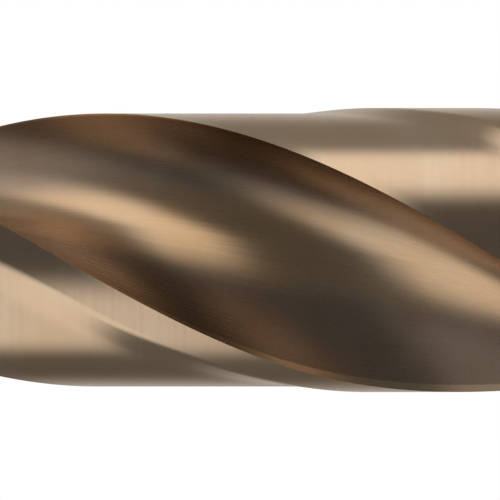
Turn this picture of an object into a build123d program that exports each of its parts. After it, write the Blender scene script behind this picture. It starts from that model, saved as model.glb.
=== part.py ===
"""Stub-length twist drill bit with a straight shank, right-hand cutting.

It stands on the end of its shank: the axis is Z, the origin is the middle of
the shank's end face, and the point is up. Lengths are in mm, angles in degrees.
"""

import os
from math import atan2, ceil, cos, pi, radians, sin, sqrt, tan

from build123d import *

# Overall form
drill_diameter = 10.0  # at the point
back_taper = 0.05  # how much narrower the body is where its flutes end
shank_diameter = 9.95
overall_length = 89.0
flute_length = 43.0  # from the point to the end of the run-out
shank_chamfer = 0.8

# Flutes, seen square to the axis
helix_angle = 30.0
web_thickness = 2.0  # at the point
web_taper = 0.014  # growth of the web for each mm towards the shank
flute_opening = 102.0  # share of the circle that each flute takes at the outside
runout_length = 18.0  # where the wheel lifts out of the flute

# Land behind each cutting corner
margin_width = 1.2  # at the point; it grows as the flute gets shallower
step_width = 1.2  # from the margin down to the land
clearance_depth = 0.21  # how far the land lies under the margin
clearance_runout = 6.0  # where the land comes back up to the full diameter

# Point, split by two notches
point_angle = 135.0
lip_relief = 10.0
flank_radius = 16.0
split_reach = 1.3  # how far along its lip each notch goes
split_land = 0.12  # half of the chisel edge that the notches leave
split_lean = 38.0  # between the axis and the bottom of a notch
split_opening = 112.0  # between the two walls of a notch

# Room that the tools take outside the blank, and how closely they are placed
tool_overrun = 0.6
wheel_overrun = 0.2  # of the flute's bottom, where the wheel has left the blank
land_overrun = 0.4  # of the land, where the flutes end
crest_overrun = 0.05  # of the step's top over the land, where the flutes end
step_overrun = 1.2  # share of the step's own rise that is drawn
twist_step = 30.0
runout_steps = 12

radius = drill_diameter / 2
half_web = web_thickness / 2
half_point = radians(point_angle / 2)
twist = tan(radians(helix_angle)) / radius  # radians for each mm of length
outside = radius + tool_overrun
flute_end = overall_length - flute_length
runout_start = flute_end + runout_length

# Each flank is a cylinder whose straight side is the lip. It passes through the
# tip and falls away behind the lip by the relief angle.
flank_ahead = half_web + flank_radius * sin(radians(lip_relief))
flank_below = sqrt(flank_radius**2 - flank_ahead**2)
lip_rise = flank_radius * cos(radians(lip_relief)) - flank_below
lip_height = overall_length + lip_rise / sin(half_point)  # the lip's line, over the axis

# A straight lip sets where the face of the flute comes out at the margin
along = sqrt(radius**2 - half_web**2)
corner = atan2(half_web, along) + twist / tan(half_point) * along
heel = corner + radians(flute_opening)

# The wheel that lifts out of the flute at the run-out
deepest = radius - half_web - flute_length * web_taper / 2 + wheel_overrun
wheel_radius = (runout_length**2 + deepest**2) / (2 * deepest)


def polar(r, angle):
    return Vector(r * cos(angle), r * sin(angle))


def side_bow(edge):
    """Radius of the arc that leaves the bottom of the flute square and ends at this edge."""
    rise = edge.Y - half_web
    return (edge.X**2 + rise**2) / (2 * rise)


face_bow = side_bow(polar(radius, corner))
heel_bow = side_bow(polar(radius, heel))


def flute_side(r, bottom, bow, side):
    """Where one side of a flute, an arc from its bottom, meets the circle r."""
    centre = bottom + bow
    y = (r**2 + centre**2 - bow**2) / (2 * centre)
    return Vector(side * sqrt(r**2 - y**2), y)


def section(z):
    """The drill cut square across at the height z, its lands left oversize."""
    web = half_web + (overall_length - z) * web_taper / 2
    below = min(max(runout_start - z, 0), runout_length)
    bottom = web + wheel_radius - sqrt(wheel_radius**2 - below**2)
    faded = 1 - min(max((z - flute_end) / clearance_runout, 0), 1)
    land = radius - clearance_depth + (clearance_depth + land_overrun) * faded

    root = Vector(0, bottom)
    heel_edge = flute_side(land, bottom, heel_bow, -1)
    face_edge = flute_side(outside, bottom, face_bow, 1)
    heel_side = flute_side((land + bottom) / 2, bottom, heel_bow, -1)
    face_side = flute_side((outside + bottom) / 2, bottom, face_bow, 1)
    heel_at = atan2(heel_edge.Y, heel_edge.X)
    back_at = pi + corner - margin_width / radius
    foot_at = back_at - step_width / radius
    foot = polar(land, foot_at)
    step_top = radius + (land_overrun + crest_overrun) * faded
    crest = foot + (polar(step_top, back_at) - foot) * step_overrun
    crest_at = pi + atan2(-crest.Y, -crest.X)
    next_at = pi + atan2(face_edge.Y, face_edge.X)
    over_margin = polar(outside, (crest_at + next_at) / 2)

    half = [
        Edge.make_three_point_arc(root, heel_side, heel_edge),
        Edge.make_three_point_arc(heel_edge, polar(land, (heel_at + foot_at) / 2), foot),
        Edge.make_line(foot, crest),
        Edge.make_line(crest, polar(outside, crest_at)),
        Edge.make_three_point_arc(polar(outside, crest_at), over_margin, -face_edge),
        Edge.make_three_point_arc(-face_edge, -face_side, -root),
    ]
    turn = Location((0, 0, z), (0, 0, twist * (z - lip_height) * 180 / pi))
    other = [edge.rotate(Axis.Z, 180) for edge in half]
    return Wire(half + other).moved(turn)


# The fluted form runs past the point, and down to where the flutes have left the bar
top = overall_length + tool_overrun
turns = ceil(twist * (top - runout_start) / radians(twist_step))
heights = [flute_end + runout_length * i / runout_steps for i in range(runout_steps)]
heights += [runout_start + (top - runout_start) * i / turns for i in range(turns + 1)]
fluted = Solid.make_loft([section(z) for z in heights])

# One bar, with the flutes ground into its upper part
upright = (Align.CENTER, Align.CENTER, Align.MIN)
slope = back_taper / 2 / flute_length
blank = Cone(radius - back_taper / 2, radius + slope * tool_overrun, top - flute_end, align=upright)
body = Pos(0, 0, flute_end) * blank & fluted
shank = Cylinder(shank_diameter / 2, flute_end, align=upright)
shank = chamfer(shank.edges().sort_by(Axis.Z)[0], shank_chamfer)

# What the point grinding takes away over one lip, in a frame along that lip
along_lip = (sin(half_point), 0, -cos(half_point))
off_lip = Plane(origin=(0, 0, overall_length), x_dir=(0, 1, 0), z_dir=along_lip)
reach = 2 * drill_diameter
ground_off = off_lip * Pos(0, -flank_below, 0) * Box(
    reach, reach, 2 * reach, align=(Align.CENTER, Align.MIN, Align.CENTER)
) - off_lip * Pos(flank_ahead, -flank_below, 0) * Cylinder(flank_radius, 3 * reach)

# The notch in front of one lip: an upright wall under the new inner cutting edge,
# and a second wall that runs out over the heel of the other land
chisel = atan2(flank_below, flank_ahead * tan(half_point))
start = polar(split_land, chisel)
inner = Vector(split_reach, half_web) - start
heading = atan2(inner.Y, inner.X)
lean = radians(split_lean)
notch_frame = Plane(
    origin=(start.X, start.Y, overall_length),
    x_dir=(cos(heading) * cos(lean), sin(heading) * cos(lean), sin(lean)),
    z_dir=(cos(heading) * sin(lean), sin(heading) * sin(lean), -cos(lean)),
)
opening = -radians(split_opening)  # towards the heel of the other land
notch = notch_frame * extrude(
    make_face(Polyline((0, 0), (reach, 0), (reach * cos(opening), reach * sin(opening)), close=True)),
    drill_diameter,
    both=True,
)

drill = shank + body
for half_turn in (0, 180):
    drill -= Rot(0, 0, half_turn) * ground_off
    drill -= Rot(0, 0, half_turn) * notch

os.makedirs("parts", exist_ok=True)
export_step(drill, "parts/drill_bit.step")
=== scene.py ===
"""A stub-length twist drill bit with a straight shank, standing on the end of its shank."""
import math

import bmesh
import bpy
from mathutils import Matrix, Vector


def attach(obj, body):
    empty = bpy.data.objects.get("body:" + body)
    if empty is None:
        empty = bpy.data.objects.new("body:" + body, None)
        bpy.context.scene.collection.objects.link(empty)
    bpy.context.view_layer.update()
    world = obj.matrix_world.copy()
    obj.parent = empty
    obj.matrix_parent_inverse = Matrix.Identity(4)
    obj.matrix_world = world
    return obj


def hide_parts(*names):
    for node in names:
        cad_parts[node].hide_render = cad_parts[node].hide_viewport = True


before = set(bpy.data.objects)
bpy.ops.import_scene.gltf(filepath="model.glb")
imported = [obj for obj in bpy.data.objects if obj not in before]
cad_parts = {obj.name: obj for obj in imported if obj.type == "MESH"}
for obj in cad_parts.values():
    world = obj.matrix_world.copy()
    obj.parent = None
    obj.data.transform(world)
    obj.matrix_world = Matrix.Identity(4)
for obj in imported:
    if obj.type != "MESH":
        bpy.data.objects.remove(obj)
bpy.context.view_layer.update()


# ---------------------------------------------------------------- drill bit
# One bar of high speed steel. The flutes are ground helically into it, the land
# behind each margin is ground a little lower, and the point is ground last.
# The finish is a thin gold-bronze oxide that comes from heating in air.

MM = 0.001  # the drill's own sizes are in mm and its angles in radians
radius = 5.0  # at the point
shank_radius = 4.975
length = 89.0
flute_end = 46.0
runout = 18.0  # where the wheel lifts out of the flute
shank_chamfer = 0.8
helix_angle = math.radians(30)
half_web = 1.0
web_taper = 0.007  # growth of half_web for each mm towards the shank
flute_opening = math.radians(102)
margin_width = 1.2
step_width = 1.2  # from the margin down to the land
step_curve = 1.5  # power of the step's rise, where 1 would be straight
land_radius = 4.79
land_runout = 6.0  # where the land comes back up to the full radius
half_point = math.radians(67.5)
lip_relief = math.radians(10)
flank_radius = 16.0

# room that the tools take outside the blank, and room left where the flutes end
tool_overrun = 0.6
wheel_overrun = 0.05
land_overrun = 0.4
foot_clearance = 0.02

top = length + tool_overrun
twist = math.tan(helix_angle) / radius  # for each mm of length

# each flank is a cylinder whose straight side is the lip
flank_ahead = half_web + flank_radius * math.sin(lip_relief)
flank_below = math.sqrt(flank_radius**2 - flank_ahead**2)
lip_height = length + (flank_radius * math.cos(lip_relief) - flank_below) / math.sin(half_point)

# a straight lip sets where the face of the flute comes out at the margin
along = math.sqrt(radius**2 - half_web**2)
corner = math.atan2(half_web, along) + twist / math.tan(half_point) * along
heel = corner + flute_opening

# the wheel that lifts out of the flute, and the height where it has left the bar
flute_depth = radius - half_web - (length - flute_end) * web_taper
wheel_depth = flute_depth + wheel_overrun
wheel_radius = (runout**2 + wheel_depth**2) / (2 * wheel_depth)
wheel_reach = math.sqrt(2 * wheel_radius * flute_depth - flute_depth**2)
flute_foot = flute_end + runout - wheel_reach + foot_clearance


def side_bow(edge_at):
    """Radius of the arc that leaves the flute's bottom square and ends outside at this angle."""
    x, y = radius * math.cos(edge_at), radius * math.sin(edge_at)
    return (x**2 + (y - half_web) ** 2) / (2 * (y - half_web))


face_bow = side_bow(corner)
heel_bow = side_bow(heel)


def blank_radius(z):
    """Radius of the bar before it is fluted. It narrows from the point to the flutes' end."""
    taper = (radius - shank_radius) / (length - flute_end)
    return radius - taper * (length - max(z, flute_end))


def flute_bottom(z):
    """Distance of the flute's bottom from the axis: the web, and the lift of the wheel."""
    web = half_web + (length - z) * web_taper
    below = min(max(flute_end + runout - z, 0), runout)
    return web + wheel_radius - math.sqrt(wheel_radius**2 - below**2)


def side_end(r, bottom, bow, side):
    """Angle at which one side of the flute meets the circle r."""
    centre = bottom + bow
    y = (r**2 + centre**2 - bow**2) / (2 * centre)
    return math.atan2(y, side * math.sqrt(max(r**2 - y**2, 0)))


def side_point(end_at, r, bottom, bow, side, share):
    """A point on one side of the flute, from its bottom (share 0) to where it ends (share 1)."""
    centre = bottom + bow
    end = math.atan2(abs(r * math.cos(end_at)), centre - r * math.sin(end_at))
    turn = end * share
    return side * bow * math.sin(turn), centre - bow * math.cos(turn)


# how many points each stretch of half the outline has, in their order round it
HEEL, LAND, STEP, MARGIN, FACE = 34, 12, 6, 8, 22
HALF = HEEL + LAND + STEP + MARGIN + FACE


def outline(index, z):
    """Where point number index of the drill's outline lies at the height z."""
    half, i = divmod(index, HALF)
    blank, bottom = blank_radius(z), flute_bottom(z)
    faded = 1 - min(max((z - flute_end) / land_runout, 0), 1)
    land = min(land_radius + (radius - land_radius + land_overrun) * faded, blank)
    heel_at = side_end(land, bottom, heel_bow, -1)
    corner_at = side_end(blank, bottom, face_bow, 1)
    back_at = math.pi + corner - margin_width / radius
    foot_at = back_at - step_width / radius

    if i <= HEEL:
        x, y = side_point(heel_at, land, bottom, heel_bow, -1, i / HEEL)
    elif i <= HEEL + LAND:
        angle = heel_at + (foot_at - heel_at) * (i - HEEL) / LAND
        x, y = land * math.cos(angle), land * math.sin(angle)
    elif i <= HEEL + LAND + STEP:
        share = (i - HEEL - LAND) / STEP
        angle = foot_at + (back_at - foot_at) * share
        r = land + (blank - land) * share**step_curve
        x, y = r * math.cos(angle), r * math.sin(angle)
    elif i <= HEEL + LAND + STEP + MARGIN:
        angle = back_at + (math.pi + corner_at - back_at) * (i - HEEL - LAND - STEP) / MARGIN
        x, y = blank * math.cos(angle), blank * math.sin(angle)
    else:
        x, y = side_point(corner_at, blank, bottom, face_bow, 1, (HALF - i) / FACE)
        x, y = -x, -y
    if half:
        x, y = -x, -y

    turn = twist * (z - lip_height)
    turned_x = x * math.cos(turn) - y * math.sin(turn)
    turned_y = x * math.sin(turn) + y * math.cos(turn)
    return Vector((turned_x, turned_y, z)) * MM


# a ring swept up the helix, then each ring set to the outline at its height
rings = 190
bar = bmesh.new()
number = bar.verts.layers.int.new("number")
ring = bmesh.ops.create_circle(bar, segments=2 * HALF, radius=radius * MM)["verts"]
for i, v in enumerate(ring):
    v[number] = i
    v.co.z = flute_foot * MM
bmesh.ops.spin(
    bar,
    geom=list(bar.edges) + list(bar.verts),
    cent=(0, 0, 0),
    axis=(0, 0, 1),
    dvec=(0, 0, (top - flute_foot) / rings * MM),
    angle=twist * (top - flute_foot),
    steps=rings,
    use_duplicate=False,
)
for v in bar.verts:
    v.co = outline(v[number], v.co.z / MM)

# the plain shank below, from a collar under the flutes to the chamfer, and both ends closed
collar = 0.5
shank_rings = (
    (flute_end - collar, shank_radius),
    (shank_chamfer, shank_radius),
    (0, shank_radius - shank_chamfer),
)
low = [e for e in bar.edges if e.is_boundary and e.verts[0].co.z < (flute_end + runout) * MM]
for height, r in shank_rings:
    grown = bmesh.ops.extrude_edge_only(bar, edges=low)["geom"]
    low = [g for g in grown if isinstance(g, bmesh.types.BMEdge)]
    for v in {g for g in grown if isinstance(g, bmesh.types.BMVert)}:
        v.co.z = 0
        v.co = v.co.normalized() * r * MM
        v.co.z = height * MM
bmesh.ops.holes_fill(bar, edges=[e for e in bar.edges if e.is_boundary], sides=0)
bmesh.ops.recalc_face_normals(bar, faces=bar.faces)


def placed(name, shape):
    """The object that a finished bmesh makes."""
    mesh = bpy.data.meshes.new(name)
    shape.to_mesh(mesh)
    shape.free()
    made = bpy.data.objects.new(name, mesh)
    bpy.context.collection.objects.link(made)
    return made


drill = placed("ground_drill", bar)


def pull(tool, faces, by):
    """Pull faces out into a closed solid."""
    grown = bmesh.ops.extrude_face_region(tool, geom=faces)["geom"]
    bmesh.ops.translate(tool, vec=by, verts=[g for g in grown if isinstance(g, bmesh.types.BMVert)])


# flank: what lies over a cylinder whose straight side is the lip
flank_width = 22.0
flank_height = 12.0
flank_from = math.radians(-38)
flank_sweep = math.radians(65)
flank_steps = 130


def over_flank(tool):
    y = flank_ahead + flank_radius * math.sin(flank_from)
    z = flank_radius * math.cos(flank_from) - flank_below
    ends = [tool.verts.new((x, y, z)) for x in (-flank_width / 2, flank_width / 2)]
    bmesh.ops.spin(
        tool,
        geom=ends + [tool.edges.new(ends)],
        cent=(0, flank_ahead, -flank_below),
        axis=(-1, 0, 0),
        angle=flank_sweep,
        steps=flank_steps,
        use_duplicate=False,
    )
    pull(tool, list(tool.faces), (0, 0, flank_height))


lip_frame = Matrix.Translation((0, 0, length)) @ Matrix.Rotation(math.pi / 2 - half_point, 4, "Y")

# notch: a wedge with an upright wall under the inner cutting edge
split_reach = 1.3  # how far along its lip the notch goes
split_land = 0.12  # half of the chisel edge that the two notches leave
split_lean = math.radians(38)
split_opening = math.radians(112)
wedge_size = 20.0

chisel = math.atan2(flank_below, flank_ahead * math.tan(half_point))
start = Vector((math.cos(chisel), math.sin(chisel))) * split_land
inner = Vector((split_reach, half_web)) - start
heading = math.atan2(inner.y, inner.x)


def wedge(tool):
    walls = ((0, 0), (1, 0), (math.cos(split_opening), math.sin(split_opening)))
    corners = [tool.verts.new((x * wedge_size, y * wedge_size, -wedge_size / 2)) for x, y in walls]
    pull(tool, [tool.faces.new(corners)], (0, 0, wedge_size))


level = math.cos(split_lean)
up_wall = Vector((math.cos(heading) * level, math.sin(heading) * level, math.sin(split_lean)))
ahead = Vector((-math.sin(heading), math.cos(heading), 0))
notch_turn = Matrix((up_wall, ahead, up_wall.cross(ahead))).transposed().to_4x4()
notch_frame = Matrix.Translation((start.x, start.y, length)) @ notch_turn

# both are taken away on one side of the point, and then on the other
for half_turn in (0, math.pi):
    spun = Matrix.Rotation(half_turn, 4, "Z")
    for name, build, matrix in (("flank", over_flank, lip_frame), ("notch", wedge, notch_frame)):
        tool = bmesh.new()
        build(tool)
        bmesh.ops.transform(tool, matrix=Matrix.Scale(MM, 4) @ spun @ matrix, verts=tool.verts)
        bmesh.ops.recalc_face_normals(tool, faces=tool.faces)
        cut = drill.modifiers.new(name, "BOOLEAN")
        cut.operation = "DIFFERENCE"
        cut.solver = "MANIFOLD"
        cut.object = placed(name, tool)

bpy.context.view_layer.update()
cut_drill = drill.evaluated_get(bpy.context.evaluated_depsgraph_get())
ground = bpy.data.meshes.new_from_object(cut_drill)
for cut in list(drill.modifiers):
    tool = cut.object
    drill.modifiers.remove(cut)
    bpy.data.objects.remove(tool)
drill.data = ground

# doubles are welded, and an edge stays sharp where its faces meet at more than the crease
weld = 0.001
crease = math.radians(22)
shell = bmesh.new()
shell.from_mesh(ground)
bmesh.ops.remove_doubles(shell, verts=shell.verts, dist=weld * MM)
bmesh.ops.dissolve_degenerate(shell, edges=shell.edges, dist=weld * MM)
for f in shell.faces:
    f.smooth = True
for e in shell.edges:
    e.smooth = len(e.link_faces) == 2 and e.calc_face_angle(0) < crease
shell.to_mesh(ground)
shell.free()


class Flow:
    """A node socket that takes part in arithmetic."""

    def __init__(self, tree, socket):
        self.tree, self.socket = tree, socket

    def node(self, kind, settings=(), **inputs):
        """A new node: its settings, then each input's value or link, by name or as i and its number."""
        made = self.tree.nodes.new(kind)
        for key, value in dict(settings).items():
            if key == "stops":
                made.color_ramp.interpolation = "EASE"
                stops = made.color_ramp.elements
                while len(stops) < len(value):
                    stops.new(1)
                for stop, (position, colour) in zip(stops, value):
                    stop.position = position
                    stop.color = (*colour, 1)
            else:
                setattr(made, key, value)
        for key, value in inputs.items():
            digits = key.removeprefix("i")
            put = made.inputs[int(digits) if digits.isdigit() else key.replace("_", " ")]
            if isinstance(value, Flow):
                self.tree.links.new(value.socket, put)
            else:
                put.default_value = value
        return made

    def out(self, kind, settings=(), output=0, **inputs):
        """One output of a new node."""
        return Flow(self.tree, self.node(kind, settings, **inputs).outputs[output])

    def maths(self, operation, *others):
        """A Math node with this value first."""
        values = {f"i{n}": value for n, value in enumerate((self, *others))}
        return self.out("ShaderNodeMath", {"operation": operation}, **values)

    def __add__(self, other):
        return self.maths("ADD", other)

    def __sub__(self, other):
        return self.maths("SUBTRACT", other)

    def __rsub__(self, other):
        return self * -1 + other

    def __mul__(self, other):
        return self.maths("MULTIPLY", other)

    def __truediv__(self, other):
        return self.maths("DIVIDE", other)

    __radd__, __rmul__ = __add__, __mul__

    def between(self, low, high):
        """0 up to low and 1 from high on, with a smooth rise."""
        smooth = {"interpolation_type": "SMOOTHSTEP"}
        return self.out("ShaderNodeMapRange", smooth, Value=self, From_Min=low, From_Max=high)

    def covered(self, share, colour):
        """This colour with a share of another one over it."""
        rgb = {"data_type": "RGBA"}
        return self.out("ShaderNodeMix", rgb, output=2, Factor=share, i6=self, i7=colour)


def by_place(name):
    """A new material, the place on its piece, and that place's x, y and z."""
    made = bpy.data.materials.new(name)
    made.use_nodes = True
    tree = made.node_tree
    tree.nodes.clear()
    place = Flow(tree, tree.nodes.new("ShaderNodeTexCoord").outputs["Object"])
    parts = place.node("ShaderNodeSeparateXYZ", Vector=place)
    return made, place, [Flow(tree, socket) for socket in parts.outputs]


oxide, place, (x, y, z) = by_place("bronze_oxide_steel")

# where the bar's outside and the point begin, and the flutes' two walls, which get painted shade
outside_from, outside_full = 4.70, 4.76
point_from, point_full = 86.0, 87.0
wall_from, wall_full = 0.9, 2.0
spread = (x * x + y * y).maths("SQRT")
outer = spread.between(outside_from * MM, outside_full * MM)
outer = outer.maths("MAXIMUM", z.between(point_from * MM, point_full * MM))
turned = z * (twist / MM) - twist * lip_height
cos_t, sin_t = turned.maths("COSINE"), turned.maths("SINE")
across = x * cos_t + y * sin_t
out_from_web = y * cos_t - x * sin_t
wall = across.maths("ABSOLUTE").between(wall_from * MM, wall_full * MM)

# grinding lines, up the helix in the flutes and round the bar outside: how many
# there are in a metre, and how often each one changes along a metre of its run
flute_lines, flute_changes = 9000, 90
bar_lines, bar_changes = 5500, 120
in_flute = place.out(
    "ShaderNodeCombineXYZ", X=across * flute_lines, Y=out_from_web * flute_lines, Z=z * flute_changes
)
round_bar = place.out("ShaderNodeCombineXYZ", X=x * bar_changes, Y=y * bar_changes, Z=z * bar_lines)
lines_in = place.out("ShaderNodeTexNoise", Vector=in_flute, Scale=1.0, Detail=3.0)
lines_out = place.out("ShaderNodeTexNoise", Vector=round_bar, Scale=1.0, Detail=3.0)
lines = lines_in * (1 - outer) + lines_out * outer

# the oxide is gold at the bottom of the flutes and palest outside and on the point, and each of these
# drifts a little;
# the flutes' walls are painted a darker brown, as painted shade for the deep flutes
cloud = place.out("ShaderNodeTexNoise", Vector=place, Scale=260.0, Detail=2.0)


def drifting(dark, middle, pale):
    """A colour that drifts between three tones."""
    stops = [(0.3, dark), (0.5, middle), (0.7, pale)]
    return cloud.out("ShaderNodeValToRGB", {"stops": stops}, Fac=cloud)


bottom_tone = drifting((0.62, 0.41, 0.23), (0.64, 0.44, 0.27), (0.66, 0.48, 0.32))
# the walls' tone is the oxide darkened by painted shade, which stands for the shade deep in the flutes
shaded_wall_tone = drifting((0.37, 0.262, 0.187), (0.40, 0.295, 0.215), (0.43, 0.335, 0.255))
land_tone = drifting((0.67, 0.48, 0.31), (0.69, 0.51, 0.345), (0.71, 0.545, 0.385))

flute_roughness = 0.24
line_roughness = 0.08  # what the lines add
outside_polish = 0.06  # what the outside takes off
# the darker tone laid over the flutes' walls is painted shade
finish = place.out(
    "ShaderNodeBsdfPrincipled",
    Base_Color=bottom_tone.covered(wall, shaded_wall_tone).covered(outer, land_tone),
    Metallic=1.0,
    Roughness=lines * line_roughness + flute_roughness - outer * outside_polish,
    Normal=place.out("ShaderNodeBump", Strength=0.08, Distance=0.02 * MM, Height=lines),
)
finish.node("ShaderNodeOutputMaterial", Surface=finish)

ground.materials.clear()
ground.materials.append(oxide)
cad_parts["drill_bit"].data.materials.clear()
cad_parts["drill_bit"].data.materials.append(oxide)
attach(drill, "root")
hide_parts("drill_bit")


# ---------------------------------------------------------------- studio
# A pale floor in a white room, and a tube of card round the drill that shows only
# in reflections: dark towards the camera, with a bright window at +X and another
# at -X, a dim patch over the first and under the second, and grey behind.

floor_size = 1.0
floor_grey = 0.85
boards = bmesh.new()
bmesh.ops.create_grid(boards, x_segments=1, y_segments=1, size=floor_size)
floor = placed("floor", boards)
floor.visible_glossy = False
pale = bpy.data.materials.new("pale_floor")
pale.use_nodes = True
matt = pale.node_tree.nodes["Principled BSDF"].inputs
matt["Base Color"].default_value = (floor_grey, floor_grey, floor_grey, 1)
matt["Roughness"].default_value = 0.9
floor.data.materials.append(pale)

tube_radius = 0.3
tube_bottom, tube_top = -0.7, 0.9
tube = bmesh.new()
ends = [tube.verts.new((tube_radius, 0, h)) for h in (tube_bottom, tube_top)]
bmesh.ops.spin(
    tube,
    geom=ends + [tube.edges.new(ends)],
    cent=(0, 0, 0),
    axis=(0, 0, 1),
    angle=math.tau,
    steps=180,
    use_merge=True,
)
card = placed("card_tube", tube)
card.visible_camera = False
card.visible_shadow = False
card.visible_diffuse = False

# directions in degrees, from the height that the camera looks at: around is 0
# towards the camera and 90 at +X, and rise is 0 level and positive upwards
view_height = 64.6 * MM
glow, _, (x, y, z) = by_place("card_glow")
around = x.maths("ARCTAN2", 0 - y) * math.degrees(1)
rise = ((z - view_height) / tube_radius).maths("ARCTANGENT") * math.degrees(1)


def window(value, start, full, leave, end):
    """1 from full to leave, fading to 0 at start and at end."""
    return value.between(start, full) * (1 - value.between(leave, end))


# upper and lower are as the camera sees them, because it lies on its side
card_light, back_light = 0.095, 0.35
upper_light, over_light, upper_back_light = 1.08, 0.42, 0.17
lower_light, below_light, lower_back_light = 0.9, 0.22, 0.04
upper = window(around, 36, 60, 82, 98) * window(rise, -16, -4, 24, 42) * upper_light
over = window(around, -20, 35, 80, 104) * window(rise, 26, 42, 60, 80) * over_light
lower = window(0 - around, 14, 46, 78, 104) * window(rise, -8, 4, 18, 32) * lower_light
below = window(0 - around, -5, 30, 70, 100) * (0 - rise).between(6, 24) * below_light
behind = around.between(88, 102) * upper_back_light + (0 - around).between(88, 108) * lower_back_light
behind = behind + around.maths("ABSOLUTE").between(125, 165) * back_light
light = upper + over + lower + below + behind + card_light
lit_card = light.out("ShaderNodeEmission", Color=(1, 0.98, 0.96, 1), Strength=light)
lit_card.node("ShaderNodeOutputMaterial", Surface=lit_card)
card.data.materials.append(glow)

# the room is white to the camera and in reflections, and lights a little less than that
room_light = 0.7
world = bpy.data.worlds.new("studio")
bpy.context.scene.world = world
world.use_nodes = True
tree = world.node_tree
tree.nodes.clear()
rays = tree.nodes.new("ShaderNodeLightPath")
seen = sum(Flow(tree, rays.outputs[f"Is {kind} Ray"]) for kind in ("Camera", "Glossy", "Transmission"))
strength = seen.between(0, 1) * (1 - room_light) + room_light
white = seen.out("ShaderNodeBackground", Color=(1, 1, 1, 1), Strength=strength)
white.node("ShaderNodeOutputWorld", Surface=white)


# ---------------------------------------------------------------- camera
# A long lens that looks square at the flutes, along +Y. The camera lies on its
# side, so the point is to the left in the picture and +X is up.

view_width = 17.54 * MM
lens = 600
sensor = 36
camera = bpy.data.objects.new("camera", bpy.data.cameras.new("camera"))
bpy.context.collection.objects.link(camera)
camera.data.lens = lens
camera.data.sensor_width = sensor
camera.data.clip_start = 0.01
camera.data.clip_end = 20
away = view_width * lens / sensor
right, up, back = Vector((0, 0, -1)), Vector((1, 0, 0)), Vector((0, -1, 0))
facing = Matrix((right, up, back)).transposed().to_4x4()
camera.matrix_world = Matrix.Translation((0, -away, view_height)) @ facing
bpy.context.scene.camera = camera
bpy.context.scene.view_settings.view_transform = "Standard"
